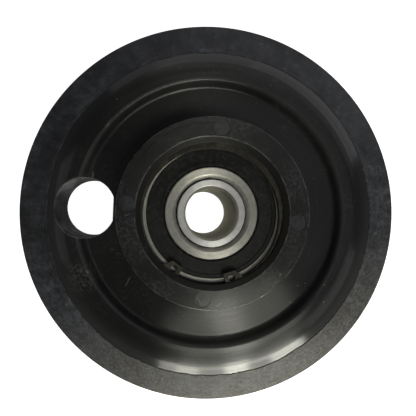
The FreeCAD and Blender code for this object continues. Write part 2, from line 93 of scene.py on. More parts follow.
# Lamps: name, (azimuth, elevation), (width, height) in degrees, glow of the face, colour
LAMP_DISTANCE = 0.6
LAMP_AIM_HEIGHT = 0.025
WARM = (1.0, 1.0, 0.88)
PLAIN = (1.0, 1.0, 1.0)
LAMPS = (
    ("front_strip_1", (-76.5, 4), (51, 9), 3.0, WARM),
    ("front_strip_2", (-76.5, 12), (51, 9), 6.0, WARM),
    ("front_strip_3", (-76, 20), (46, 9), 2.5, WARM),
    ("front_strip_4", (-73, 29), (38, 11), 1.6, WARM),
    ("front_strip_5", (-70, 39), (35, 11), 0.95, WARM),
    ("front_strip_6", (-68, 50), (30, 13), 0.9, WARM),
    ("front_strip_7", (-65, 62), (26, 14), 2.1, WARM),
    ("front_column_low", (-74.5, 7), (8, 14), 9.5, WARM),
    ("front_column_middle", (-73.5, 21), (8, 14), 5.5, WARM),
    ("front_column_high", (-70, 40), (6.5, 24), 1.5, WARM),
    ("front_column_top", (-66, 61), (6, 18), 4.4, WARM),
    ("front_right_spot", (-55.5, 5), (13, 12), 6.8, WARM),
    ("front_left_spot", (-92, 7), (8, 12), 5.6, WARM),
    ("right_softbox", (-30, 35), (28, 25), 0.6, PLAIN),
    ("left_softbox", (180, 35), (40, 30), 0.34, PLAIN),
    ("back_right_softbox", (42, 12), (48, 28), 0.56, PLAIN),
    ("back_softbox", (84, 12), (36, 28), 0.46, PLAIN),
    ("back_left_softbox", (113, 12), (22, 28), 0.28, PLAIN),
    ("back_high_softbox", (60, 35), (80, 25), 0.25, PLAIN),
    ("right_high_softbox", (30, 62), (50, 25), 0.22, PLAIN),
    ("overhead_softbox", (0, 90), (20, 20), 0.30, PLAIN),
)


# Settings that a user would change

class TyreSettings(bpy.types.PropertyGroup):
    """Colours of the rubber and reach of its flash on the rim."""

    rubber: bpy.props.FloatVectorProperty(
        name="Rubber", description="Colour of the clean rubber", subtype="COLOR",
        default=(0.010, 0.0105, 0.0125), min=0, max=1)
    bloom: bpy.props.FloatVectorProperty(
        name="Bloom", description="Colour of the pale bloom that mottles the rubber", subtype="COLOR",
        default=(0.115, 0.120, 0.142), min=0, max=1)
    # dust: colour of the road dust together with painted light on the rubber's lamp side
    dust_and_light: bpy.props.FloatVectorProperty(
        name="Dust", description="Colour of the road dust rubbed into one side", subtype="COLOR",
        default=(0.118, 0.107, 0.087), min=0, max=1)
    scuff: bpy.props.FloatVectorProperty(
        name="Scuff", description="Colour of specks and scratches on the rubber", subtype="COLOR",
        default=(0.26, 0.26, 0.25), min=0, max=1)
    bond_radius: bpy.props.FloatProperty(
        name="Bond radius", description="Radius at which the rubber meets the rim", unit="LENGTH",
        default=0.0662, precision=5)
    bevel_start: bpy.props.FloatProperty(
        name="Bevel start", description="Radius at which the rim's bevel starts", unit="LENGTH",
        default=0.0595, precision=5)
    rim_height: bpy.props.FloatProperty(
        name="Rim height", description="Height of the rim's front face", unit="LENGTH",
        default=0.0258, precision=5)
    bevel_slope: bpy.props.FloatProperty(
        name="Bevel slope", description="Fall of the bevel for each length outwards", default=0.53023)
    flash_reach: bpy.props.FloatProperty(
        name="Flash reach", description="Mean reach of the rubber flash over the rim", unit="LENGTH",
        default=0.00090, precision=5)
    flash_lean: bpy.props.FloatProperty(
        name="Flash lean", description="By how much the flash reaches further towards +Y", unit="LENGTH",
        default=0.00065, precision=5)
    flash_thickness: bpy.props.FloatProperty(
        name="Flash thickness", description="Thickness of the rubber flash", unit="LENGTH",
        default=0.00026, precision=5)


class BodySettings(bpy.types.PropertyGroup):
    """Colours of the moulded plastic and its wear."""

    plastic: bpy.props.FloatVectorProperty(
        name="Plastic", description="Colour of the black plastic", subtype="COLOR",
        default=(0.0095, 0.0095, 0.010), min=0, max=1)
    # haze: colour of the hazy patches and of the painted highlight on the step's edge
    haze_and_highlight: bpy.props.FloatVectorProperty(
        name="Haze", description="Colour of the rubbed, hazy patches", subtype="COLOR",
        default=(0.046, 0.047, 0.049), min=0, max=1)
    # dust: colour of dust specks and scratches, and of the painted highlights on the hub's edges
    dust_and_light: bpy.props.FloatVectorProperty(
        name="Dust", description="Colour of dust specks and scratches", subtype="COLOR",
        default=(0.15, 0.145, 0.13), min=0, max=1)
    grime: bpy.props.FloatVectorProperty(
        name="Grime", description="Colour of the greasy dirt round the bearing's seat", subtype="COLOR",
        default=(0.0095, 0.009, 0.008), min=0, max=1)
    mark_scuff: bpy.props.FloatVectorProperty(
        name="Mark scuff", description="Colour of the pale floor of the ejector marks", subtype="COLOR",
        default=(0.044, 0.047, 0.051), min=0, max=1)
    mark_place: bpy.props.FloatVectorProperty(
        name="Mark place", description="Distance of the ejector marks from the axle, and their height", size=2,
        unit="LENGTH", default=(0.0311, 0.0363), precision=5)
    mark_turn: bpy.props.FloatProperty(
        name="Mark turn", description="Angle of the first ejector mark", subtype="ANGLE",
        default=math.radians(-6.5))
    mark_radius: bpy.props.FloatProperty(
        name="Mark radius", description="Radius of each ejector mark", unit="LENGTH", default=0.003, precision=5)
    seat_edge: bpy.props.FloatProperty(
        name="Seat edge", description="Radius out to which the bearing's seat is greasy", unit="LENGTH",
        default=0.028, precision=5)
    hazy_rim: bpy.props.FloatVectorProperty(
        name="Hazy rim", description="Radii between which the rim grows hazy towards the rubber", size=2,
        unit="LENGTH", default=(0.058, 0.065), precision=5)
    # hub_edges: radii of pale lines that are partly rubbed wear, partly painted highlight
    hub_edges: bpy.props.FloatVectorProperty(
        name="Hub edges", description="Radii of the hub's two rubbed edges", size=2, unit="LENGTH",
        default=(0.0281, 0.0350), precision=5)
    # step_edge: radius of a pale band that is partly rubbed wear, partly a painted highlight
    step_edge: bpy.props.FloatProperty(
        name="Step edge", description="Radius of the rubbed edge between the step and the rim", unit="LENGTH",
        default=0.0529, precision=5)
    scuff_place: bpy.props.FloatVectorProperty(
        name="Scuff place", description="Middle of the scuffed patch on the rim", size=2, unit="LENGTH",
        default=(-0.0502, -0.0255), precision=5)
    scuff_radius: bpy.props.FloatProperty(
        name="Scuff radius", description="Radius of the scuffed patch on the rim", unit="LENGTH",
        default=0.0085, precision=5)
    # hole_dust_and_light: pale colour of the hole's wall, partly dust, partly painted light from below
    hole_dust_and_light: bpy.props.FloatVectorProperty(
        name="Hole dust", description="Colour of the dust on the access hole's wall", subtype="COLOR",
        default=(0.20, 0.204, 0.215), min=0, max=1)
    hole_place: bpy.props.FloatVectorProperty(
        name="Hole place", description="Centre of the access hole", size=2, unit="LENGTH",
        default=(-0.04955, 0.00216), precision=5)
    # hole_radius: radius of the hole whose wall is made paler by dust and painted light
    hole_radius: bpy.props.FloatProperty(
        name="Hole radius", description="Radius of the access hole, whose wall is dusty", unit="LENGTH",
        default=0.0121, precision=5)


class BearingSettings(bpy.types.PropertyGroup):
    """Colours of the bearing, its snap ring and the axle sleeve."""

    steel: bpy.props.FloatVectorProperty(
        name="Ground steel", description="Colour of the bearing rings", subtype="COLOR",
        default=(0.76, 0.746, 0.675), min=0, max=1)
    ball_steel: bpy.props.FloatVectorProperty(
        name="Polished steel", description="Colour of the balls", subtype="COLOR",
        default=(0.62, 0.62, 0.63), min=0, max=1)
    cage_steel: bpy.props.FloatVectorProperty(
        name="Sheet steel", description="Colour of the pressed cage and its rivets", subtype="COLOR",
        default=(0.46, 0.45, 0.43), min=0, max=1)
    seal: bpy.props.FloatVectorProperty(
        name="Seal rubber", description="Colour of the seals", subtype="COLOR",
        default=(0.006, 0.006, 0.006), min=0, max=1)
    lint: bpy.props.FloatVectorProperty(
        name="Lint", description="Colour of the lint on the seals", subtype="COLOR",
        default=(0.2, 0.2, 0.18), min=0, max=1)
    phosphate: bpy.props.FloatVectorProperty(
        name="Phosphate", description="Colour of the snap ring's black coat", subtype="COLOR",
        default=(0.044, 0.0415, 0.035), min=0, max=1)
    sleeve: bpy.props.FloatVectorProperty(
        name="Sleeve metal", description="Colour of the turned axle sleeve", subtype="COLOR",
        default=(1.0, 1.0, 0.98), min=0, max=1)
    bore_film: bpy.props.FloatVectorProperty(
        name="Bore film", description="Colour of the dry grease in the sleeve's bore", subtype="COLOR",
        default=(0.50, 0.485, 0.405), min=0, max=1)
    # bore_mouth_shade: colour of the painted shade at the bore's mouth, towards +Y
    bore_mouth_shade: bpy.props.FloatVectorProperty(
        name="Bore grease", description="Colour of the darker grease at the bore's mouth", subtype="COLOR",
        default=(0.17, 0.165, 0.137), min=0, max=1)
    # joint_shade: colour of the painted shade in the joint between the sleeve and the inner ring
    joint_shade: bpy.props.FloatVectorProperty(
        name="Joint dirt", description="Colour of the dirt between the sleeve and the inner ring", subtype="COLOR",
        default=(0.03, 0.029, 0.026), min=0, max=1)
    joint_radius: bpy.props.FloatProperty(
        name="Joint radius", description="Radius at which the sleeve meets the inner ring", unit="LENGTH",
        default=0.0128, precision=5)
    # joint_depth: height down to which the joint's painted shade reaches
    joint_depth: bpy.props.FloatProperty(
        name="Joint depth", description="Height down to which the joint is dirty", unit="LENGTH",
        default=0.0305, precision=5)
    bore_radius: bpy.props.FloatProperty(
        name="Bore radius", description="Radius of the sleeve's bore", unit="LENGTH", default=0.009525,
        precision=6)


class StageSettings(bpy.types.PropertyGroup):
    """Camera, lamps and floor."""

    camera_place: bpy.props.FloatVectorProperty(
        name="Camera", description="Place of the camera, which looks straight down", subtype="TRANSLATION",
        unit="LENGTH", default=(-0.01474, 0.00162, 0.147), precision=5)
    camera_lens: bpy.props.FloatProperty(
        name="Lens", description="Focal length in millimetres on a 36 mm sensor", default=26.56)
    camera_shift: bpy.props.FloatVectorProperty(
        name="Shift", description="Shift of the frame, as shares of its width", size=2,
        default=(0.0877, 0.0024), precision=4)
    floor: bpy.props.FloatVectorProperty(
        name="Floor", description="Colour of the floor", subtype="COLOR",
        default=(0.9, 0.9, 0.9), min=0, max=1)
    floor_glow: bpy.props.FloatProperty(
        name="Floor glow", description="Brightness of the lit table top", default=1.0, min=0)
    room: bpy.props.FloatProperty(
        name="Room light", description="Brightness of the room all round", default=0.02, min=0)


# Meshes and materials

def add_piece(name, points, faces, body):
    """Make a mesh piece in the frame's own coordinates, smooth, riding on a body."""
    mesh = bpy.data.meshes.new(name)
    mesh.from_pydata(points.tolist(), [], faces.tolist())
    mesh.shade_smooth()
    piece = bpy.data.objects.new(name, mesh)
    bpy.context.scene.collection.objects.link(piece)
    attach(piece, body)
    return piece


def ring_faces(around, across):
    """Quads of a grid that closes on itself both ways: around the axle and across the section."""
    index = np.arange(around * across).reshape(around, across)
    after = np.roll(index, -1, axis=0)
    return np.stack([index, after, np.roll(after, -1, axis=1), np.roll(index, -1, axis=1)], axis=-1).reshape(-1, 4)


def ragged(angle, seed, waves, first):
    """Sum of cosines whose height falls with their count round the wheel, with seeded phases; about -1 to 1."""
    rng = np.random.default_rng(seed)
    counts = first + np.arange(waves)
    phases = rng.uniform(0, TURN, waves)
    heights = rng.uniform(0.4, 1.0, waves) / np.sqrt(counts)
    total = (heights * np.cos(counts * angle[:, None] + phases)).sum(axis=1)
    return total / np.abs(total).max()


class Finish:
    """Node material around one principled shader."""

    def __init__(self, name, constants):
        self.material = bpy.data.materials.new(name)
        self.material.use_nodes = True
        self.tree = self.material.node_tree
        self.shader = self.tree.nodes["Principled BSDF"]
        self.set(constants)
        self.place = self.add("TexCoord", {}).outputs["Object"]

    def set(self, sources):
        """Give the shader's sockets their numbers, or link them."""
        for name, source in sources.items():
            self.feed(self.shader.inputs[name], source)

    def feed(self, socket, source):
        """Link a source socket, or set a plain value."""
        if isinstance(source, bpy.types.NodeSocket):
            self.tree.links.new(source, socket)
        else:
            socket.default_value = source

    def add(self, kind, inputs, **settings):
        """Add a node, with its settings and what feeds it."""
        node = self.tree.nodes.new("ShaderNode" + kind)
        for name, setting in settings.items():
            setattr(node, name, setting)
        for name, source in inputs.items():
            self.feed(node.inputs[name], source)
        return node

    def noise(self, scale, detail=4.0, roughness=0.55, vector=None):
        """Cloudy value from 0 to 1, with its scale as clouds to a metre."""
        return self.add("TexNoise", {"Vector": vector or self.place, "Scale": scale, "Detail": detail,
                                     "Roughness": roughness}).outputs["Fac"]

    def span(self, value, low, high, to_low=0.0, to_high=1.0):
        """Value stretched from one range to another, and held there."""
        return self.add("MapRange", {"Value": value, "From Min": low, "From Max": high, "To Min": to_low,
                                     "To Max": to_high}, clamp=True).outputs["Result"]

    def math(self, operation, first, second):
        """Sum, product or comparison of two values."""
        return self.add("Math", {0: first, 1: second}, operation=operation).outputs[0]

    def blend(self, share, low, high):
        """Colour between two others."""
        return self.add("Mix", {0: share, 6: low, 7: high}, data_type="RGBA").outputs[2]

    def largest(self, values):
        """Largest of several values."""
        total = values[0]
        for value in values[1:]:
            total = self.math("MAXIMUM", total, value)
        return total

    def flat_place(self):
        """Place with its height left out."""
        return self.add("VectorMath", {0: self.place, 1: (1, 1, 0)}, operation="MULTIPLY").outputs[0]

    def radius(self):
        """Distance from the axle's line."""
        return self.add("VectorMath", {0: self.flat_place()}, operation="LENGTH").outputs["Value"]

    def along(self, direction):
        """How far the place lies along a direction of length one."""
        return self.add("VectorMath", {0: self.place, 1: direction}, operation="DOT_PRODUCT").outputs["Value"]

    def band(self, value, middle, half):
        """Soft band about a value."""
        return self.span(self.math("ABSOLUTE", self.math("SUBTRACT", value, middle), 0), half * 0.5, half, 1, 0)

    def spokes(self, count, detail):
        """Cloudy value that changes much faster round the axle than outwards, as wiping marks do."""
        outwards = self.add("VectorMath", {0: self.flat_place()}, operation="NORMALIZE").outputs[0]
        drawn = self.add("VectorMath", {0: outwards, "Scale": count}, operation="SCALE").outputs[0]
        slow = self.add("VectorMath", {0: self.place, "Scale": 70.0}, operation="SCALE").outputs[0]
        both = self.add("VectorMath", {0: drawn, 1: slow}, operation="ADD").outputs[0]
        return self.noise(1.0, detail, vector=both)

    def turning_marks(self, scale, detail=3.0):
        """Value that varies only with the distance from the axle, as tool marks do."""
        return self.add("TexNoise", {"W": self.radius(), "Scale": scale, "Detail": detail},
                        noise_dimensions="1D").outputs["Fac"]

    def specks(self, scale, size, share):
        """Sparse small dots: near the point of a cell, in a share of the cells."""
        cells = self.add("TexVoronoi", {"Vector": self.place, "Scale": scale})
        near = self.math("LESS_THAN", cells.outputs["Distance"], size)
        picked = self.add("SeparateColor", {0: cells.outputs["Color"]}).outputs[0]
        return self.math("MULTIPLY", near, self.math("LESS_THAN", picked, share))

    def scratches(self, turn, scale, width):
        """Fine straight lines: where a stretched noise passes through its middle, in patches."""
        stretched = self.add("Mapping", {"Vector": self.place, "Rotation": (0, 0, turn),
                                         "Scale": (0.08, 1, 1)}).outputs[0]
        value = self.noise(scale, detail=1.0, vector=stretched)
        off = self.math("ABSOLUTE", self.math("SUBTRACT", value, 0.5), 0)
        patches = self.span(self.noise(120, detail=2.0), 0.62, 0.70)
        return self.math("MULTIPLY", self.span(off, 0, width, 1, 0), patches)

    def stroke(self, start, end, width):
        """One straight scratch between two places, thinning towards its ends."""
        run, rise = end[0] - start[0], end[1] - start[1]
        middle = ((start[0] + end[0]) / 2, (start[1] + end[1]) / 2, 0)
        laid = self.add("Mapping", {"Vector": self.flat_place(), "Location": middle,
                                    "Rotation": (0, 0, math.atan2(rise, run))}, vector_type="TEXTURE").outputs[0]
        parts = self.add("SeparateXYZ", {0: laid})
        half = math.hypot(run, rise) / 2
        lengthways = self.span(self.math("ABSOLUTE", parts.outputs[0], 0), half * 0.5, half, 1, 0)
        crossways = self.span(self.math("ABSOLUTE", parts.outputs[1], 0), 0, width, 1, 0)
        return self.math("MULTIPLY", lengthways, crossways)

    def disc(self, centre, radius):
        """Round patch about a place, with a soft edge."""
        away = self.add("VectorMath", {0: self.place, 1: centre}, operation="DISTANCE").outputs["Value"]
        return self.span(away, radius * 0.93, radius * 0.99, 1, 0)

    def away_from(self, line):
        """Distance from an upright line."""
        return self.add("VectorMath", {0: self.flat_place(), 1: (*line, 0)}, operation="DISTANCE").outputs["Value"]

    def pillar(self, line, radius):
        """Patch within a distance of an upright line, with a sharp edge."""
        return self.span(self.away_from(line), radius * 1.01, radius * 1.03, 1, 0)

    def relief(self, height, distance, under=None):
        """Bump of a given depth, on top of another one."""
        inputs = {"Height": height, "Distance": distance, "Strength": 1.0}
        if under:
            inputs["Normal"] = under
        return self.add("Bump", inputs).outputs["Normal"]

    def brushed_round(self):
        """Direction round the axle, for highlights that spread across turning marks."""
        self.set({"Tangent": self.add("Tangent", {}, direction_type="RADIAL", axis="Z").outputs[0]})


def colour(setting):
    """Four-part colour from a setting."""
    return (*setting, 1.0)


def dress(material, *nodes):
    """Give CAD nodes one finish, and normals that follow the larger faces, so that rounded edges shine evenly."""
    for node in nodes:
        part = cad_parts[node]
        for slot in part.material_slots:
            slot.material = material
        normals = part.modifiers.new("even_normals", "WEIGHTED_NORMAL")
        normals.mode = "FACE_AREA_WITH_ANGLE"
        normals.keep_sharp = True


def rubber_finish(settings):
    """Dull moulded rubber, mottled by bloom, wiped outwards, with road dust and painted light on the lamp side at
    -Y.
    """
    finish = Finish("tyre_rubber_finish", {"Specular IOR Level": 0.36})
    clouds = finish.noise(60, detail=9, roughness=0.7)
    wiped = finish.spokes(22.0, 8.0)
    grain = finish.noise(520, detail=6, roughness=0.75)
    bloom = finish.math("MULTIPLY", finish.span(clouds, 0.27, 0.75), finish.span(wiped, 0.36, 0.64, 0.5, 1.0))
    bloom = finish.math("MULTIPLY", bloom, finish.span(grain, 0.36, 0.64, 0.35, 1.15))
    base = finish.blend(bloom, colour(settings.rubber), colour(settings.bloom))
    # Painted light, with road dust: the side towards the lamps at -Y is made paler
    dust_and_light_mask = finish.span(finish.along(DUST_AND_LIGHT_SIDE), *DUST_AND_LIGHT_REACH)
    dust_and_light_mask = finish.math("MULTIPLY", dust_and_light_mask, finish.span(finish.noise(750, detail=8, roughness=0.8), 0.44, 0.60))
    base = finish.blend(dust_and_light_mask, base, colour(settings.dust_and_light))
    scuffs = finish.largest([
        finish.math("MULTIPLY", finish.specks(420, 0.12, 0.09), 0.45),
        finish.math("MULTIPLY", finish.scratches(0.6, 300, 0.012), 0.35),
        finish.math("MULTIPLY", finish.scratches(-1.1, 260, 0.012), 0.35),
    ])
    bumps = finish.relief(finish.noise(300, detail=6, roughness=0.65), 0.00022)
    finish.set({
        "Base Color": finish.blend(scuffs, base, colour(settings.scuff)),
        "Roughness": finish.span(grain, 0.35, 0.65, 0.44, 0.70),
        "Normal": finish.relief(grain, 0.00010, under=bumps),
    })
    return finish.material


def plastic_finish(settings):
    """Black moulded plastic with turning marks, haze, scratches, pale ejector marks and greasy seat; dust and
    painted light on the access hole's wall; painted highlights, partly rubbed wear, on the hub's edges and the
    step's edge.
    """
    finish = Finish("moulded_plastic_finish", {"Anisotropic": 1.0, "Anisotropic Rotation": 0.25,
                                               "Specular IOR Level": 0.4, "Coat Roughness": 0.15})
    finish.brushed_round()
    clouds = finish.noise(60, detail=6, roughness=0.6)
    rings = finish.turning_marks(800, 4.0)
    dull = finish.math("ADD", finish.span(clouds, 0.3, 0.75, 0.27, 0.34), finish.span(rings, 0.3, 0.7, 0, 0.16))
    front = finish.span(finish.along(UP), *FRONT_HEIGHTS)
    strokes = finish.largest([finish.stroke(*scratch) for scratch in SCRATCHES])
    dirt_and_highlight = finish.largest([
        finish.specks(330, 0.11, 0.06),
        finish.math("MULTIPLY", finish.specks(610, 0.16, 0.06), 0.4),
        finish.math("MULTIPLY", finish.scratches(0.9, 420, 0.010), 0.4),
        finish.math("MULTIPLY", finish.scratches(-0.5, 520, 0.010), 0.4),
        # Painted highlight, partly rubbed wear, along the hub's rounded edges
        finish.math("MULTIPLY", worn_and_highlit_edges(finish, settings), 0.6),
        finish.math("MULTIPLY", strokes, front),
        finish.math("MULTIPLY", rim_scuff(finish, settings), front),
    ])
    fine = finish.noise(800, detail=7, roughness=0.8)
    hub = finish.span(finish.along(UP), *HUB_HEIGHTS)
    rubbed_and_highlit = finish.math("MULTIPLY", finish.span(clouds, 0.40, 0.70), finish.span(hub, 0, 1, 0.5, 1.6))
    rubbed_and_highlit = finish.math("MULTIPLY", rubbed_and_highlit, finish.span(fine, 0.46, 0.60))
    rubbed_and_highlit = finish.math("MAXIMUM", rubbed_and_highlit, finish.span(finish.radius(), *settings.hazy_rim, 0, 0.42))
    # Painted highlight, partly rubbed wear: a pale band along the step's rounded edge
    edge = finish.math("MULTIPLY", finish.band(finish.radius(), settings.step_edge, STEP_EDGE_HALF_WIDTH),
                       finish.span(clouds, 0.3, 0.7, 0.3, 0.6))
    rubbed_and_highlit = finish.math("MAXIMUM", rubbed_and_highlit, edge)
    base = finish.blend(rubbed_and_highlit, colour(settings.plastic), colour(settings.haze_and_highlight))
    greasy = finish.span(finish.radius(), settings.seat_edge * 0.985, settings.seat_edge, 1, 0)
    base = finish.blend(greasy, base, colour(settings.grime))
    base = finish.blend(mark_patches(finish, settings), base, colour(settings.mark_scuff))
    # Painted light, partly dust: the access hole's wall made paler
    base = finish.blend(dust_and_light_on_hole(finish, settings), base, colour(settings.hole_dust_and_light))
    finish.set({
        "Base Color": finish.blend(finish.math("MULTIPLY", dirt_and_highlight, 0.8), base, colour(settings.dust_and_light)),
        "Roughness": finish.math("ADD", dull, finish.math("MULTIPLY", greasy, 0.25)),
        "Coat Weight": finish.span(greasy, 0, 1, 0.6, 0),
        "Normal": finish.relief(finish.math("MULTIPLY", fine, hub), 0.0001, under=finish.relief(rings, 0.00003)),
    })
    return finish.material


def dust_and_light_on_hole(finish, settings):
    """Patchy dust and painted light on the access hole's wall, thinner on its sides towards and away from the hub.
    """
    wall = finish.pillar(settings.hole_place, settings.hole_radius)
    patchy = finish.span(finish.noise(300, detail=7, roughness=0.7), 0.38, 0.64, 0.05, 0.9)
    bare = finish.band(finish.along(TOWARDS_Y), settings.hole_place[1], settings.hole_radius * 0.7)
    return finish.math("MULTIPLY", finish.math("MULTIPLY", wall, patchy), finish.span(bare, 0, 1, 1.0, 0.3))


def worn_and_highlit_edges(finish, settings):
    """Thin broken pale lines on the hub's outer and inner edges: partly rubbed wear, partly a painted highlight."""
    radius = finish.radius()
    lines = finish.largest([finish.band(radius, edge, HUB_EDGE_HALF_WIDTH) for edge in settings.hub_edges])
    broken = finish.span(finish.noise(260, detail=6, roughness=0.7), 0.44, 0.58)
    top = finish.span(finish.along(UP), *[settings.mark_place[1] - depth for depth in HUB_EDGE_DEPTHS])
    return finish.math("MULTIPLY", finish.math("MULTIPLY", lines, broken), top)


def rim_scuff(finish, settings):
    """Patch of fine pale grit where the rim's face has been scuffed, thinning outwards."""
    away = finish.away_from(settings.scuff_place)
    patch = finish.span(away, settings.scuff_radius * 0.3, settings.scuff_radius, 0.6, 0)
    grit = finish.span(finish.noise(900, detail=8, roughness=0.85), 0.47, 0.60)
    return finish.math("MULTIPLY", patch, grit)


def mark_patches(finish, settings):
    """Scuffed round patches on the ejector marks, four to a turn."""
    away, height = settings.mark_place
    turns = [settings.mark_turn + quarter * TURN / 4 for quarter in range(4)]
    patches = finish.largest([finish.disc((away * math.cos(turn), away * math.sin(turn), height),
                                          settings.mark_radius) for turn in turns])
    return finish.math("MULTIPLY", patches, finish.span(finish.noise(500, detail=5), 0.35, 0.65, 0.3, 1.0))


def ground_metal(name, metal, bare, roughness, marks, depth):
    """Metal with fine marks round the axle, bare but for a share under a dull film; gives its colour as well."""
    finish = Finish(name, {"Metallic": bare, "Anisotropic": 0.8, "Anisotropic Rotation": 0.25})
    finish.brushed_round()
    rings = finish.turning_marks(marks)
    stain = finish.span(finish.noise(420, detail=8, roughness=0.75), 0.38, 0.62, 0.45, 1.0)
    shade = finish.math("MULTIPLY", stain, finish.span(rings, 0.3, 0.7, 0.7, 1.0))
    dark = tuple(part * 0.62 for part in metal)
    base = finish.blend(shade, colour(dark), colour(metal))
    finish.set({
        "Base Color": base,
        "Roughness": finish.span(finish.noise(600), 0.3, 0.7, roughness * 0.8, roughness * 1.2),
        "Normal": finish.relief(rings, depth),
    })
    return finish, base


def ground_metal_finish(name, metal, bare, roughness, marks, depth):
    """Ground metal with nothing on it."""
    finish, _ = ground_metal(name, metal, bare, roughness, marks, depth)
    return finish.material


def joint_shade(finish, settings):
    """Painted shade: a dark line in the joint between the sleeve and the bearing's inner ring."""
    near = finish.band(finish.radius(), settings.joint_radius, JOINT_HALF_WIDTH)
    front = finish.span(finish.along(UP), settings.joint_depth, settings.joint_depth + JOINT_FADE)
    patchy = finish.span(finish.noise(500, detail=4), 0.25, 0.5, 0.6, 1.0)
    return finish.math("MULTIPLY", finish.math("MULTIPLY", near, front), patchy)


def ring_finish(settings):
    """Ground bearing rings, with painted shade in the joint with the sleeve."""
    finish, base = ground_metal("bearing_steel_finish", settings.steel, 0.85, 0.5, 2600, 0.000012)
    # Painted shade in the joint with the sleeve
    finish.set({"Base Color": finish.blend(joint_shade(finish, settings), base, colour(settings.joint_shade))})
    return finish.material


def sleeve_finish(settings):
    """Turned sleeve with a film of dry grease in its bore, painted shade at the bore's mouth towards +Y, and
    painted shade in the joint with the inner ring.
    """
    finish, base = ground_metal("sleeve_metal_finish", settings.sleeve, 0.6, 0.4, 2200, 0.000016)
    inside = finish.span(finish.radius(), settings.bore_radius * 1.06, settings.bore_radius * 1.08, 1, 0)
    # Painted shade: the bore's film is darker at its mouth, towards the front and +Y
    mouth_shade_mask = finish.math("MULTIPLY", finish.span(finish.along(UP), *BORE_SHADE_HEIGHTS),
                        finish.span(finish.along(TOWARDS_Y), *BORE_SHADE_SIDE))
    film_and_shade = finish.blend(mouth_shade_mask, colour(settings.bore_film), colour(settings.bore_mouth_shade))
    base = finish.blend(inside, base, film_and_shade)
    finish.set({
        # Painted shade in the joint with the inner ring
        "Base Color": finish.blend(joint_shade(finish, settings), base, colour(settings.joint_shade)),
        "Roughness": finish.span(inside, 0, 1, 0.4, 0.85),
    })
    return finish.material


def phosphate_finish(settings):
    """Thin black phosphate coat on spring steel, worn brownish."""
    finish = Finish("spring_steel_finish", {"Metallic": 0.55, "Specular IOR Level": 0.32})
    grain = finish.noise(1500, detail=4)
    wear = finish.span(finish.noise(300, detail=4), 0.45, 0.75)
    worn = tuple(part * 2.2 for part in settings.phosphate)
    finish.set({
        "Base Color": finish.blend(wear, colour(settings.phosphate), colour(worn)),
        "Roughness": finish.span(grain, 0.3, 0.7, 0.38, 0.55),
        "Normal": finish.relief(grain, 0.00002),
    })
    return finish.material


def seal_finish(settings):
    """Black moulded seal rubber with faint rings and lint."""
    finish = Finish("seal_rubber_finish", {"Specular IOR Level": 0.32})
    clouds = finish.noise(600, detail=7, roughness=0.75)
    rings = finish.turning_marks(1500)
    lint = finish.specks(700, 0.14, 0.12)
    pale = tuple(part * 4.0 for part in settings.seal)
    base = finish.blend(finish.span(clouds, 0.44, 0.62), colour(settings.seal), colour(pale))
    finish.set({
        "Base Color": finish.blend(finish.math("MULTIPLY", lint, 0.45), base, colour(settings.lint)),
        "Roughness": finish.span(clouds, 0.3, 0.7, 0.42, 0.56),
        "Normal": finish.relief(clouds, 0.00005, under=finish.relief(rings, 0.00003)),
    })
    return finish.material


def flash_surface(settings):
    """Thin rubber skin over the rim's bevel, from the bond line to a ragged inner edge.

    Around the axle by angle, and across by a closed section: along the top from the ragged edge, where it
    rises as a square root to its full thickness, out onto the tyre, where it sinks, and back just under the
    surface. The height is the bevel's own, which falls evenly with the radius.
    """
    angle = np.arange(FLASH_STEPS) * TURN / FLASH_STEPS
    rough = sum(height * ragged(angle, *waves) for height, *waves in FLASH_WAVES)
    reach = np.maximum(settings.flash_reach + settings.flash_lean * np.sin(angle) + rough, FLASH_LEAST_REACH)
    share = np.array([0.0, 0.04, 0.12, 0.3, 0.6, 0.85, 1.0, 0.7, 0.3])
    lift = np.array([-0.3, 0.5, 0.85, 1.0, 0.9, 0.5, -0.3, -0.8, -0.8]) * settings.flash_thickness
    inner = (settings.bond_radius - reach)[:, None]
    outer = settings.bond_radius + FLASH_LAP
    radius = inner + (outer - inner) * share
    height = settings.rim_height - (radius - settings.bevel_start) * settings.bevel_slope + lift
    points = np.stack([radius * np.cos(angle)[:, None], radius * np.sin(angle)[:, None], height], axis=-1)
    return points.reshape(-1, 3), ring_faces(FLASH_STEPS, len(share))


# Operators

class IDLER_OT_dress_tyre(bpy.types.Operator):
    """Finish the tyre and lay its rubber flash on the rim"""

    bl_idname = "idler.dress_tyre"
    bl_label = "Dress Tyre"

    def execute(self, context):
        settings = context.scene.idler_tyre
        rubber = rubber_finish(settings)
        dress(rubber, "tyre")
        points, faces = flash_surface(settings)
        flash = add_piece("tyre_flash", points, faces, "wheel")
        flash.data.materials.append(rubber)
        return {"FINISHED"}


class IDLER_OT_dress_body(bpy.types.Operator):
    """Finish the moulded wheel body"""

    bl_idname = "idler.dress_body"
    bl_label = "Dress Wheel Body"

    def execute(self, context):
        dress(plastic_finish(context.scene.idler_body), "wheel_body")
        return {"FINISHED"}


class IDLER_OT_dress_bearing(bpy.types.Operator):
    """Finish the bearing's rings, balls, cage and seals"""

    bl_idname = "idler.dress_bearing"
    bl_label = "Dress Bearing"

    def execute(self, context):
        settings = context.scene.idler_bearing
        dress(ring_finish(settings), "bearing_outer_ring", "bearing_inner_ring")
        dress(ground_metal_finish("ball_steel_finish", settings.ball_steel, 1.0, 0.12, 9000, 0.0000005),
              *[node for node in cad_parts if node.startswith("ball_")])
        dress(ground_metal_finish("cage_steel_finish", settings.cage_steel, 1.0, 0.42, 3000, 0.000003),
              "cage_front", "cage_rear", "cage_rivets")
        dress(seal_finish(settings), "seal_front", "seal_rear")
        return {"FINISHED"}


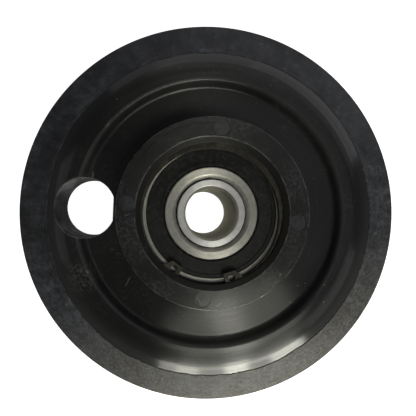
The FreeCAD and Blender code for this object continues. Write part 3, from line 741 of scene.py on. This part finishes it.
class IDLER_OT_dress_snap_ring(bpy.types.Operator):
    """Finish the snap ring"""

    bl_idname = "idler.dress_snap_ring"
    bl_label = "Dress Snap Ring"

    def execute(self, context):
        dress(phosphate_finish(context.scene.idler_bearing), "snap_ring")
        return {"FINISHED"}


class IDLER_OT_dress_sleeve(bpy.types.Operator):
    """Finish the turned axle sleeve"""

    bl_idname = "idler.dress_sleeve"
    bl_label = "Dress Axle Sleeve"

    def execute(self, context):
        dress(sleeve_finish(context.scene.idler_bearing), "axle_sleeve")
        return {"FINISHED"}


class IDLER_OT_set_stage(bpy.types.Operator):
    """Set the floor, the lamps, the room light and the camera"""

    bl_idname = "idler.set_stage"
    bl_label = "Set Stage"

    def execute(self, context):
        settings = context.scene.idler_stage
        self.add_floor(settings)
        self.add_backdrop(settings)
        for lamp in LAMPS:
            self.add_lamp(*lamp)
        world = bpy.data.worlds.new("room")
        world.use_nodes = True
        background = world.node_tree.nodes["Background"]
        background.inputs["Color"].default_value = WHITE
        background.inputs["Strength"].default_value = settings.room
        context.scene.world = world
        camera = bpy.data.cameras.new("camera")
        camera.sensor_width = SENSOR_WIDTH
        camera.lens = settings.camera_lens
        camera.shift_x, camera.shift_y = settings.camera_shift
        camera.clip_start = NEAREST
        holder = bpy.data.objects.new("camera", camera)
        holder.location = settings.camera_place
        context.scene.collection.objects.link(holder)
        context.scene.camera = holder
        context.scene.view_settings.view_transform = "Standard"
        return {"FINISHED"}

    def add_floor(self, settings):
        """Flat lit table top, just under the wheel."""
        corners = [(x, y, FLOOR_HEIGHT) for x, y in FLOOR_CORNERS]
        self.add_surface("floor", corners, [(0, 1, 2, 3)], settings)

    def add_backdrop(self, settings):
        """Four plain walls round the floor, which only the camera sees, so that they light nothing."""
        corners = [(x, y, z) for z in (FLOOR_HEIGHT, WALL_HEIGHT) for x, y in FLOOR_CORNERS]
        faces = [(i, (i + 1) % 4, (i + 1) % 4 + 4, i + 4) for i in range(4)]
        walls = self.add_surface("backdrop", corners, faces, settings)
        walls.data.materials[0].cycles.emission_sampling = "NONE"
        walls.visible_diffuse = False
        walls.visible_transmission = False
        walls.visible_shadow = False

    def add_surface(self, name, corners, faces, settings):
        """Piece of the stage, lit evenly, and not mirrored in the wheel."""
        mesh = bpy.data.meshes.new(name)
        mesh.from_pydata(corners, [], faces)
        piece = bpy.data.objects.new(name, mesh)
        bpy.context.scene.collection.objects.link(piece)
        piece.visible_glossy = False
        finish = Finish(f"{name}_finish", {"Base Color": colour(settings.floor), "Roughness": 0.6,
                                           "Emission Color": WHITE,
                                           "Emission Strength": settings.floor_glow})
        mesh.materials.append(finish.material)
        return piece

    def add_lamp(self, name, place, spread, glow, tint):
        """Soft rectangular lamp that faces the hub.

        Its place is an azimuth and an elevation, its spread a width and a height, all as angles seen from the
        hub, and its glow is the brightness of its face.
        """
        turn, rise = (math.radians(angle) for angle in place)
        wide, tall = (2 * LAMP_DISTANCE * math.tan(math.radians(angle) / 2) for angle in spread)
        lamp = bpy.data.lights.new(name, "AREA")
        lamp.color = tint
        lamp.shape = "RECTANGLE"
        lamp.size, lamp.size_y = wide, tall
        lamp.energy = glow * math.pi * lamp.size * lamp.size_y
        holder = bpy.data.objects.new(name, lamp)
        holder.location = (LAMP_DISTANCE * math.cos(rise) * math.cos(turn),
                           LAMP_DISTANCE * math.cos(rise) * math.sin(turn),
                           LAMP_AIM_HEIGHT + LAMP_DISTANCE * math.sin(rise))
        holder.rotation_euler = (math.pi / 2 - rise, 0, turn + math.pi / 2)
        bpy.context.scene.collection.objects.link(holder)


class IDLER_PT_looks(bpy.types.Panel):
    """Operators of the idler wheel's looks, in the order in which they run"""

    bl_idname = "IDLER_PT_looks"
    bl_label = "Idler Wheel"
    bl_space_type = "VIEW_3D"
    bl_region_type = "UI"
    bl_category = "Idler Wheel"

    def draw(self, context):
        for operator in OPERATORS:
            self.layout.operator(operator.bl_idname)


SETTINGS = {
    "idler_tyre": TyreSettings,
    "idler_body": BodySettings,
    "idler_bearing": BearingSettings,
    "idler_stage": StageSettings,
}
OPERATORS = (
    IDLER_OT_dress_tyre,
    IDLER_OT_dress_body,
    IDLER_OT_dress_bearing,
    IDLER_OT_dress_snap_ring,
    IDLER_OT_dress_sleeve,
    IDLER_OT_set_stage,
)


def register():
    """Register the settings, the operators and the panel."""
    for name, group in SETTINGS.items():
        bpy.utils.register_class(group)
        setattr(bpy.types.Scene, name, bpy.props.PointerProperty(type=group))
    for operator in OPERATORS:
        bpy.utils.register_class(operator)
    bpy.utils.register_class(IDLER_PT_looks)


def unregister():
    """Take back what register added."""
    bpy.utils.unregister_class(IDLER_PT_looks)
    for operator in reversed(OPERATORS):
        bpy.utils.unregister_class(operator)
    for name, group in reversed(SETTINGS.items()):
        delattr(bpy.types.Scene, name)
        bpy.utils.unregister_class(group)


def main():
    """Register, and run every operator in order."""
    register()
    bpy.ops.idler.dress_tyre()
    bpy.ops.idler.dress_body()
    bpy.ops.idler.dress_bearing()
    bpy.ops.idler.dress_snap_ring()
    bpy.ops.idler.dress_sleeve()
    bpy.ops.idler.set_stage()


if __name__ == "__main__":
    main()
